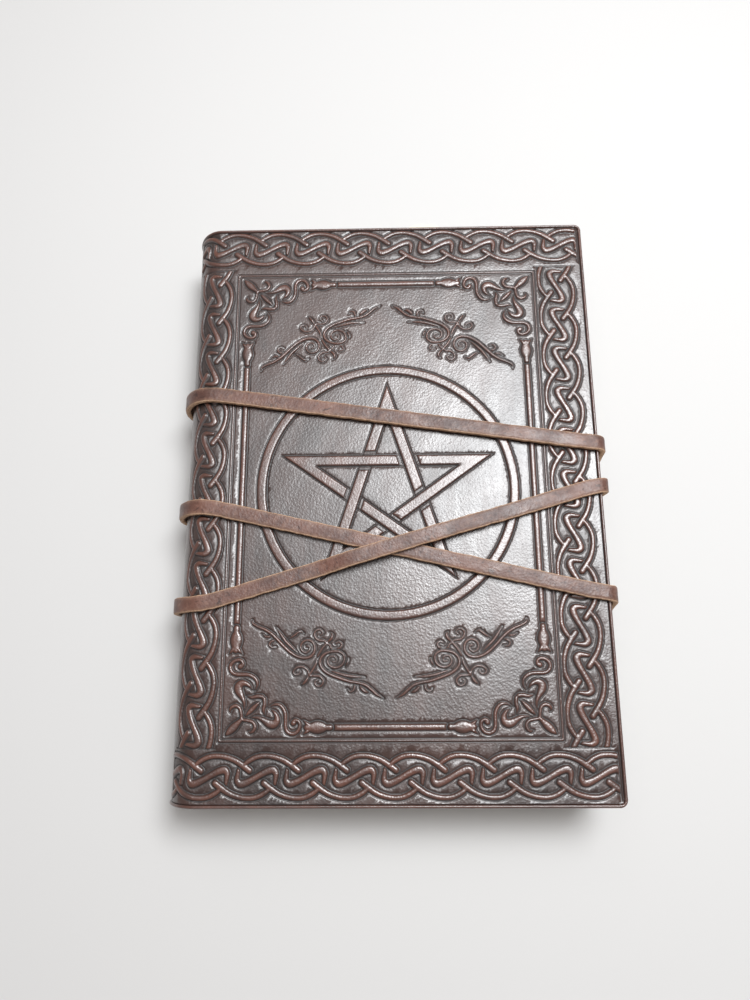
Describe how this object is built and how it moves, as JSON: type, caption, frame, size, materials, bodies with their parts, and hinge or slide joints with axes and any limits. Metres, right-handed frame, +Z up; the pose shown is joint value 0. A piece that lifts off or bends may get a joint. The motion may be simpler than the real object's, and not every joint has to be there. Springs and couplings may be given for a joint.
{
  "type": "leather journal",
  "caption": "Closed hand-bound journal in embossed leather boards with a rounded spine, knotwork border, ringed star, sewn paper sections and a flat leather wrap thong.",
  "frame": {"origin": "Centre of the bounding box in plan, on the surface that the thong's lower bands rest on.", "axes": "+Y runs from the tail to the head of the book, +X from the spine to the fore-edge, and +Z up out of the front cover."},
  "size_m": [0.1312, 0.178, 0.0313],
  "materials": {
    "embossed_leather": "semi-gloss, dark chocolate, burnished on the raised strands",
    "thong_leather": "satin reddish brown with pale raw edges",
    "board": "matte grey board",
    "paper": "matte uncoated cotton paper with deckled edges",
    "lining_cloth": "matte woven cloth",
    "linen_tape": "matte woven tape",
    "linen_thread": "waxed thread"
  },
  "bodies": {
    "book_block": {"back_cover_leather": "embossed_leather", "back_cover_board": "board", "back_pastedown": "paper", "spine_leather": "embossed_leather", "spine_lining": "lining_cloth", "back_flyleaf": "paper", "section_1": "paper", "section_2": "paper", "section_3": "paper", "section_4": "paper", "section_5": "paper", "section_6": "paper", "section_7": "paper", "section_8": "paper", "sewing_tape_tail": "linen_tape", "sewing_tape_middle": "linen_tape", "sewing_tape_head": "linen_tape", "kettle_stitch_tail": "linen_thread", "kettle_stitch_head": "linen_thread"},
    "front_cover": {"front_cover_leather": "embossed_leather", "front_cover_board": "board", "front_pastedown": "paper"},
    "front_flyleaf": {"front_flyleaf": "paper"},
    "leaf_1": {"leaf_1": "paper"},
    "leaf_2": {"leaf_2": "paper"},
    "leaf_3": {"leaf_3": "paper"},
    "leaf_4": {"leaf_4": "paper"},
    "wrap_thong": {"wrap_thong": "thong_leather"}
  },
  "joints": [
    {"name": "front_cover_open", "type": "hinge", "parent": "book_block", "child": "front_cover", "pos_m": [-0.054, 0, 0.0274], "axis": [0, -1, 0], "range_deg": [0, 178], "deforming": ["wrap_thong"]},
    {"name": "front_flyleaf_turn", "type": "hinge", "parent": "book_block", "child": "front_flyleaf", "pos_m": [-0.054, 0, 0.0274], "axis": [0, -1, 0], "range_deg": [0, 175.34]},
    {"name": "leaf_1_turn", "type": "hinge", "parent": "book_block", "child": "leaf_1", "pos_m": [-0.054, 0, 0.0274], "axis": [0, -1, 0], "range_deg": [0, 172.67]},
    {"name": "leaf_2_turn", "type": "hinge", "parent": "book_block", "child": "leaf_2", "pos_m": [-0.054, 0, 0.0274], "axis": [0, -1, 0], "range_deg": [0, 170]},
    {"name": "leaf_3_turn", "type": "hinge", "parent": "book_block", "child": "leaf_3", "pos_m": [-0.054, 0, 0.0274], "axis": [0, -1, 0], "range_deg": [0, 6.24]},
    {"name": "leaf_4_turn", "type": "hinge", "parent": "book_block", "child": "leaf_4", "pos_m": [-0.054, 0, 0.0274], "axis": [0, -1, 0], "range_deg": [0, 2.68]},
    {"name": "wrap_slip_off", "type": "slide", "parent": "book_block", "child": "wrap_thong", "axis": [0, -1, 0], "range_m": [0, 0.26]}
  ],
  "couplings": [
    {"joint": "front_flyleaf_turn", "follows": "front_cover_open", "ratio": 0.985},
    {"joint": "leaf_1_turn", "follows": "front_cover_open", "ratio": 0.97},
    {"joint": "leaf_2_turn", "follows": "front_cover_open", "ratio": 0.955},
    {"joint": "leaf_3_turn", "follows": "front_cover_open", "ratio": 0.035},
    {"joint": "leaf_4_turn", "follows": "front_cover_open", "ratio": 0.015},
    {"joint": "wrap_slip_off", "follows": "front_cover_open", "m_per_rad": 0.0836}
  ]
}
